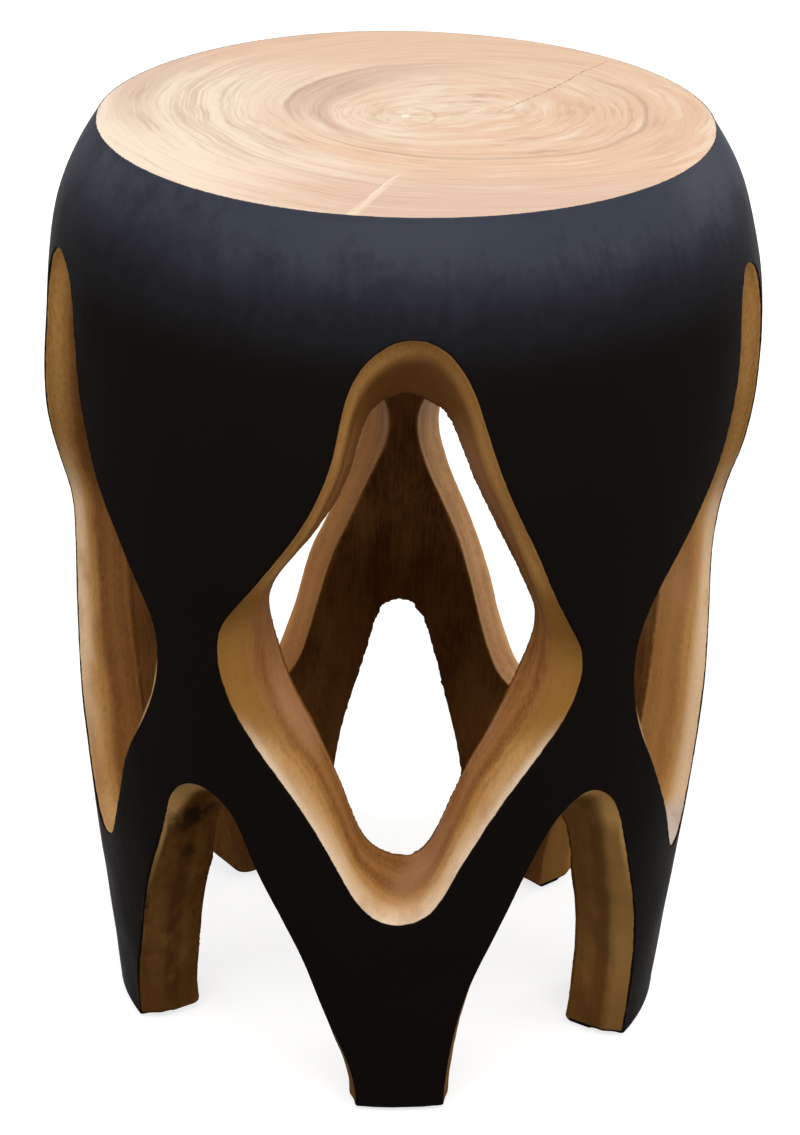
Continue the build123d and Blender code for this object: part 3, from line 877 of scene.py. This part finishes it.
# ---- the checks in the top ----
def check_strip(name, node, points, seed):
    """Resin in a drying check: a jagged strip that narrows to its ends, flush with the top."""
    chance = random.Random(seed)
    line = []
    for start, end in zip(points, points[1:]):
        for part in range(PARTS_A_STRETCH):
            line.append(Vector(start).lerp(Vector(end), part / PARTS_A_STRETCH))
    line.append(Vector(points[-1]))
    shape = bmesh.new()
    rings = []
    for index, point in enumerate(line):
        share = index / (len(line) - 1)
        ahead = line[min(index + 1, len(line) - 1)] - line[max(index - 1, 0)]
        side = Vector((-ahead.y, ahead.x)).normalized()
        fullness = math.sin(math.pi * min(max(share, 0.04), 0.96)) ** 0.6
        half = CHECK_WIDTH / 2 * (0.25 + 0.75 * fullness)
        half *= chance.uniform(0.55, 1.0)
        middle = point + side * chance.uniform(-CHECK_WANDER, CHECK_WANDER)
        left, right = middle + side * half, middle - side * half
        high, low = TOP - CHECK_SINK, TOP - CHECK_DEPTH
        corners = ((left.x, left.y, high), (right.x, right.y, high), (middle.x, middle.y, low))
        rings.append([shape.verts.new(corner) for corner in corners])
    for first, second in zip(rings, rings[1:]):
        for corner in range(3):
            after = (corner + 1) % 3
            shape.faces.new((first[corner], first[after], second[after], second[corner]))
    shape.faces.new(rings[0][::-1])
    shape.faces.new(rings[-1])
    bmesh.ops.recalc_face_normals(shape, faces=shape.faces)
    strip = piece_from(shape, name)
    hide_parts(node)
    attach(strip, BODY)
    return strip


# ---- the table ----
log = dressed_log()
only_material(log, wood_and_coat())
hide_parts("carved_log", "black_coat")
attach(log, BODY)

long_strip = check_strip("check_resin_long", "top_check_fill_long", LONG_CHECK, 2)
only_material(long_strip, resin("check_resin_brown", *BROWN_RESIN))
short_strip = check_strip("check_resin_short", "top_check_fill_short", SHORT_CHECK, 4)
only_material(short_strip, resin("check_resin_pale", *PALE_RESIN))

glide_finish = moulded_plastic()
nail_finish = plated_steel()
for name, node in nodes.items():
    if name.startswith("foot_glide_"):
        only_material(node, glide_finish)
    elif name.startswith("glide_nail_"):
        only_material(node, nail_finish)


# ---- floor, light and camera ----
def seen_directly(tree):
    """1 for what the camera, a reflection or clear glass shows, 0 for light."""
    path = put(tree, "ShaderNodeLightPath").outputs
    reflected = maths(tree, "MAXIMUM", path["Is Glossy Ray"], path["Is Transmission Ray"])
    return maths(tree, "MAXIMUM", path["Is Camera Ray"], reflected)


def floor():
    shape = bmesh.new()
    bmesh.ops.create_grid(shape, x_segments=2, y_segments=2, size=6)
    ground = piece_from(shape, "floor")
    made = bpy.data.materials.new("floor_white")
    made.use_nodes = True
    tree = made.node_tree
    tree.nodes.clear()
    lit = put(tree, "ShaderNodeBsdfDiffuse", {"Color": (0.45, 0.45, 0.45, 1)}).outputs[0]
    away = put(tree, "ShaderNodeVectorMath", {0: object_place(tree)}, operation="LENGTH").outputs[1]
    strength = weighed(tree, (step(tree, away, 0.35, 1.6), 0.28), (1.0, 0.74))
    glow = put(tree, "ShaderNodeEmission", {"Color": (1, 1, 1, 1), "Strength": strength}).outputs[0]
    white = put(tree, "ShaderNodeAddShader", {0: lit, 1: glow}).outputs[0]
    dim = put(tree, "ShaderNodeBsdfDiffuse", {"Color": (0.22, 0.21, 0.20, 1)}).outputs[0]
    both = put(tree, "ShaderNodeMixShader", {0: seen_directly(tree), 1: dim, 2: white}).outputs[0]
    put(tree, "ShaderNodeOutputMaterial", {"Surface": both})
    ground.data.materials.append(made)


LAMP_COLOUR = (1.0, 0.985, 0.965)

# Name, place, what it points at, width and height, watts
LAMPS = (
    ("key", (0.0, -1.3, 1.7), (0, 0, 0.3), (1.8, 0.8), 25),
    ("overhead", (0.0, 0.2, 1.9), (0, 0, 0.3), (1.4, 1.2), 7),
    ("left", (-1.7, -0.7, 1.0), (0, 0, 0.25), (0.8, 0.8), 8),
    ("right", (1.7, -0.7, 1.0), (0, 0, 0.25), (0.8, 0.8), 10),
    ("back_left", (-1.5, 1.0, 0.9), (0, 0, 0.25), (0.7, 0.7), 7),
    ("back_right", (1.5, 1.0, 0.9), (0, 0, 0.25), (0.7, 0.7), 11),
)


def area_lamp(name, place, target, size, watts):
    lamp = bpy.data.lights.new(name, "AREA")
    lamp.shape = "RECTANGLE"
    lamp.size, lamp.size_y = size
    lamp.energy = watts
    lamp.color = LAMP_COLOUR
    holder = bpy.data.objects.new(name, lamp)
    bpy.context.scene.collection.objects.link(holder)
    holder.location = place
    holder.rotation_euler = (Vector(target) - Vector(place)).to_track_quat("-Z", "Y").to_euler()


def world():
    made = bpy.data.worlds.new("studio")
    made.use_nodes = True
    tree = made.node_tree
    tree.nodes.clear()
    light = put(tree, "ShaderNodeBackground", {"Color": (1.0, 0.98, 0.96, 1), "Strength": 0.20}).outputs[0]
    white = put(tree, "ShaderNodeBackground", {"Color": (1, 1, 1, 1), "Strength": 1.0}).outputs[0]
    both = put(tree, "ShaderNodeMixShader", {0: seen_directly(tree), 1: light, 2: white}).outputs[0]
    put(tree, "ShaderNodeOutputWorld", {"Surface": both})
    bpy.context.scene.world = made


def camera():
    """The photograph's view: from a little above the front, with a long lens."""
    focal_px, centre_x_px, width_px, height_px = 3194.0, 395.23, 800, 1135
    pitch, roll, distance, height = 25.26, 1.31, 1.566, 0.988
    sensor_mm = 36
    lens = bpy.data.cameras.new("camera")
    lens.sensor_fit = "VERTICAL"
    lens.sensor_height = sensor_mm
    lens.lens = focal_px / height_px * sensor_mm
    lens.shift_x = (width_px / 2 - centre_x_px) / height_px
    holder = bpy.data.objects.new("camera", lens)
    bpy.context.scene.collection.objects.link(holder)
    turn = Euler((math.radians(90 - pitch), 0, 0)).to_matrix().to_4x4()
    turn = turn @ Matrix.Rotation(math.radians(roll), 4, "Z")
    holder.matrix_world = Matrix.Translation((0, -distance, height)) @ turn
    bpy.context.scene.camera = holder


floor()
world()
for lamp_settings in LAMPS:
    area_lamp(*lamp_settings)
camera()

bpy.context.scene.view_settings.view_transform = "Standard"
